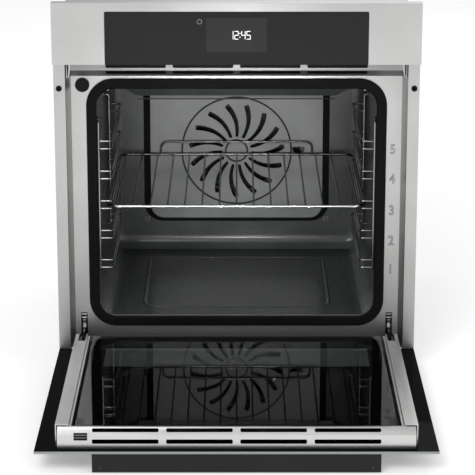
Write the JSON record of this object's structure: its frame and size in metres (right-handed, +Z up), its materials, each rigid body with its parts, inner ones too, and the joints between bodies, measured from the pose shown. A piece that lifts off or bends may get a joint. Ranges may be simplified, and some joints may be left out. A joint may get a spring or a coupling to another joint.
{
  "type": "wall oven",
  "caption": "Built-in 60 cm electric wall oven with a drop-down glass door shown open, touch control panel, vent rail, wire shelf, side racks and convection fan.",
  "frame": {"origin": "underside of the base tray, on the oven's middle plane, in the cabinet's front plane (the back of the front frame's side flanges)", "axes": "+X to the right seen from the front, +Y into the cabinet, +Z up; the front faces -Y"},
  "size_m": [0.595, 1.02, 0.62],
  "materials": {
    "satin_steel": "brushed satin stainless steel",
    "door_trim": "satin",
    "panel_glass": "black glossy glass",
    "display": "dark display",
    "black_plastic": "matte black",
    "handle_metal": "satin black anodised",
    "rubber_seal": "matte silicone",
    "enamel": "grey glass enamel on steel",
    "chrome_wire": "polished",
    "screw_steel": "plain",
    "element_steel": "heat tinted",
    "fan_steel": "mill",
    "zinc_steel": "zinc coated sheet",
    "blower_blades": "mill",
    "door_glass": "dark printed glass",
    "inner_panes": "clear heat-reflecting glass",
    "lamp_clear": "clear",
    "ceramic_white": "white",
    "glass_wool": "fibrous",
    "circuit_board": "green laminate"
  },
  "bodies": {
    "oven_body": {"fascia_panel": "satin_steel", "control_glass": "panel_glass", "control_carrier": "black_plastic", "display_module": "display", "vent_rail": "satin_steel", "front_frame": "satin_steel", "door_gasket": "rubber_seal", "frame_plug": "black_plastic", "frame_screw_bushes": "black_plastic", "cavity_liner": "enamel", "lamp_socket": "ceramic_white", "lamp_glass": "lamp_clear", "lamp_bulb": "lamp_clear", "rear_baffle": "enamel", "fan_cover": "enamel", "fan_cover_screws": "screw_steel", "fan_chamber": "enamel", "ring_element": "element_steel", "fan_motor": "zinc_steel", "grill_element": "element_steel", "bottom_element": "element_steel", "temperature_probe": "screw_steel", "rack_left": "chrome_wire", "rack_right": "chrome_wire", "rack_studs": "chrome_wire", "insulation_blanket": "glass_wool", "base_tray": "zinc_steel", "side_panel_left": "zinc_steel", "side_panel_right": "zinc_steel", "top_cover": "zinc_steel", "casing_screws": "screw_steel", "deck_plate": "zinc_steel", "rear_panel": "zinc_steel", "cable_gland": "black_plastic", "terminal_block": "black_plastic", "blower_housing": "black_plastic", "blower_motor": "zinc_steel", "air_duct": "zinc_steel", "power_board": "circuit_board", "hinge_receivers": "zinc_steel", "hinge_arms": "zinc_steel", "hinge_pins": "screw_steel"},
    "door": {"outer_glass": "door_glass", "middle_glass": "inner_panes", "inner_glass": "inner_panes", "glass_spacers": "black_plastic", "door_side_profile_left": "door_trim", "door_side_profile_right": "door_trim", "door_top_rail": "satin_steel", "door_bottom_rail": "door_trim", "latch_insert": "black_plastic", "handle_profile": "handle_metal", "handle_end_caps": "black_plastic", "handle_screws": "screw_steel", "hinge_cases": "zinc_steel"},
    "convection_fan_wheel": {"convection_fan": "fan_steel", "fan_shaft": "screw_steel", "fan_nut": "screw_steel"},
    "cooling_fan_wheel": {"blower_wheel": "blower_blades"},
    "shelf": {"wire_shelf": "chrome_wire"}
  },
  "joints": [
    {"name": "door_hinge", "type": "hinge", "parent": "oven_body", "child": "door", "pos_m": [0, -0.0035, 0.02], "axis": [-1, 0, 0], "range_deg": [0, 90]},
    {"name": "shelf_slide", "type": "slide", "parent": "oven_body", "child": "shelf", "axis": [0, -1, 0], "range_m": [0, 0.018]},
    {"name": "convection_fan_spin", "type": "hinge", "parent": "oven_body", "child": "convection_fan_wheel", "pos_m": [0, 0.455, 0.2475], "axis": [0, -1, 0], "continuous": true},
    {"name": "cooling_fan_spin", "type": "hinge", "parent": "oven_body", "child": "cooling_fan_wheel", "pos_m": [0, 0.44, 0.532], "axis": [1, 0, 0], "continuous": true}
  ]
}
